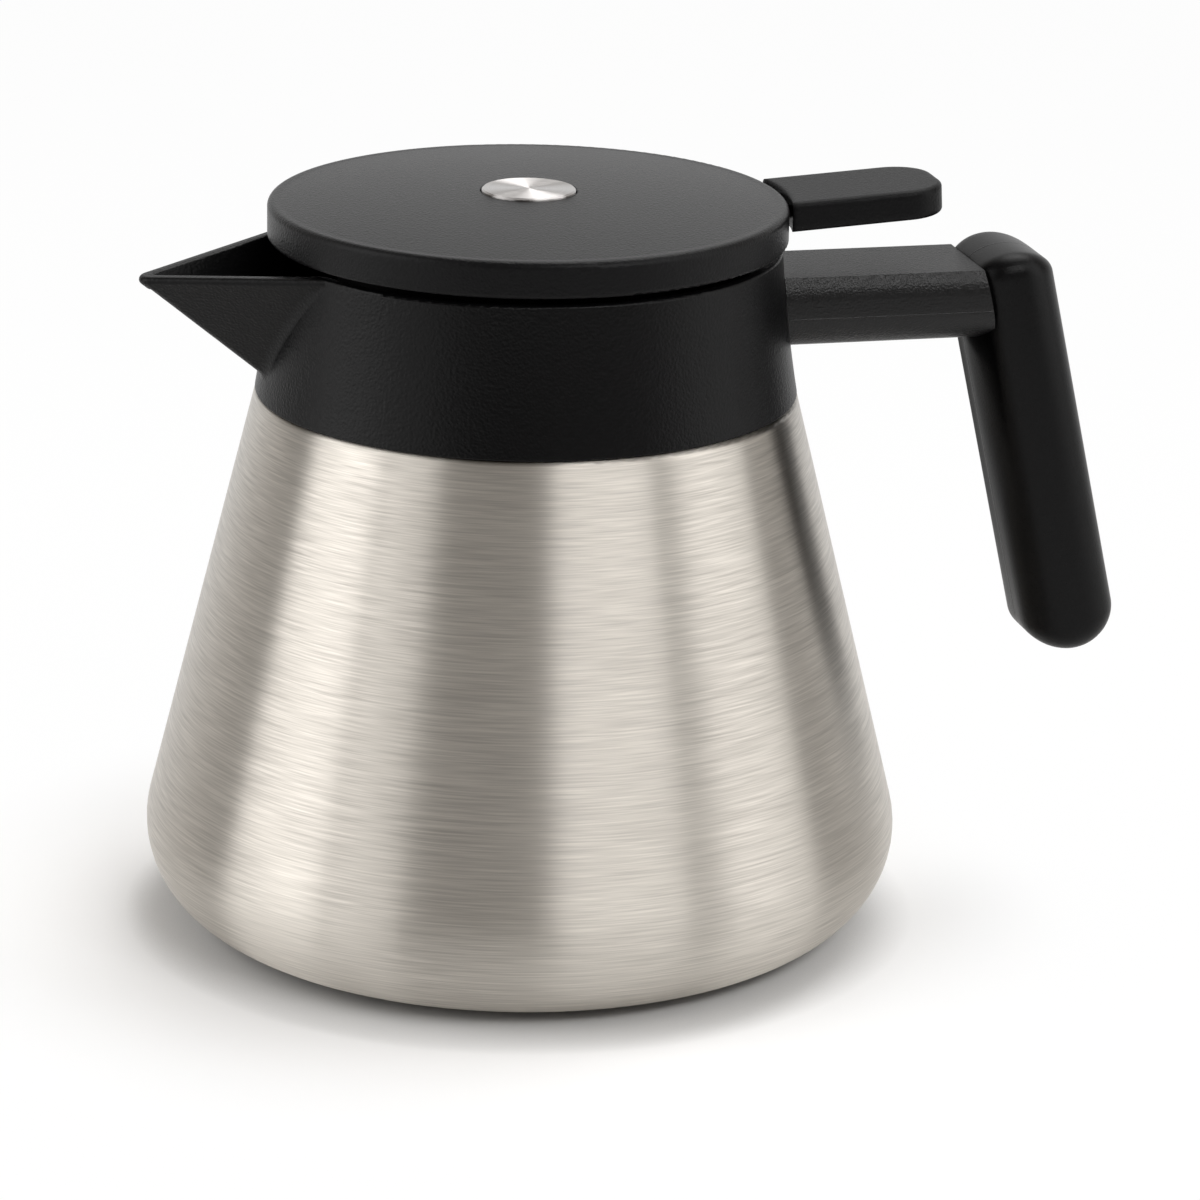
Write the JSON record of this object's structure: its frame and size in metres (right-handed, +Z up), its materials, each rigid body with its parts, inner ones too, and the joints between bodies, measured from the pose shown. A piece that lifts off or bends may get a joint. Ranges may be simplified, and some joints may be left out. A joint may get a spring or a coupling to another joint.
{
  "type": "serving jug",
  "caption": "Insulated steel serving jug with a moulded collar, an open V spout, an upright side grip and a round lid that a thumb lever tips open.",
  "frame": {"origin": "centre of the base pad's face, on the jug's axis, where the jug stands", "axes": "+Z up along the jug's axis, +X towards the handle, -X towards the spout, +Y to the left of someone who looks along +X"},
  "size_m": [0.2035, 0.154, 0.1521],
  "materials": {
    "steel_outer": "fine brushing round the body",
    "steel_inner": "satin",
    "steel_inlay": "circular brushing with a bright bevel",
    "steel_plain": "plain rolled",
    "screw_steel": "bright",
    "seal_metal": "dull",
    "plastic_black": "fine leathery grain",
    "plastic_grip": "smooth satin",
    "plastic_lid": "fine even grain",
    "silicone_dark": "matt",
    "silicone_clear": "milky",
    "foam": "fine cells"
  },
  "bodies": {
    "jug": {"outer_shell": "steel_outer", "shell_neck": "steel_inner", "inner_flask": "steel_inner", "flask_floor": "steel_inner", "base_plate": "steel_inner", "vacuum_seal": "seal_metal", "base_pad": "silicone_dark", "collar": "plastic_black", "collar_gasket": "silicone_dark", "neck_ring": "plastic_black", "hinge_rail": "plastic_black", "handle_arm": "plastic_black", "handle_core": "steel_plain", "arm_screws": "screw_steel", "grip_left": "plastic_grip", "grip_right": "plastic_grip", "grip_dowels": "steel_plain"},
    "hinge_carrier": {"hinge_block": "plastic_black", "hinge_pin": "steel_plain"},
    "lid": {"lid_cover": "plastic_lid", "lid_base": "plastic_black", "cover_screws": "screw_steel", "thumb_lever": "plastic_lid", "lever_screws": "screw_steel", "inlay_disc": "steel_inlay", "lid_bolt": "screw_steel", "stopper": "plastic_black", "stopper_cap": "plastic_black", "stopper_foam": "foam", "stopper_seal": "silicone_clear", "torsion_spring": "screw_steel"}
  },
  "joints": [
    {"name": "lid_lift", "type": "slide", "parent": "jug", "child": "hinge_carrier", "axis": [0, 0, 1], "range_m": [0, 0.04]},
    {"name": "lid_hinge", "type": "hinge", "parent": "hinge_carrier", "child": "lid", "pos_m": [0.0442, 0, 0.136], "axis": [0, 1, 0], "range_deg": [0, 15], "stiffness_Nm_per_rad": 0.05, "springref_deg": -22.92, "deforming": ["torsion_spring"]}
  ]
}
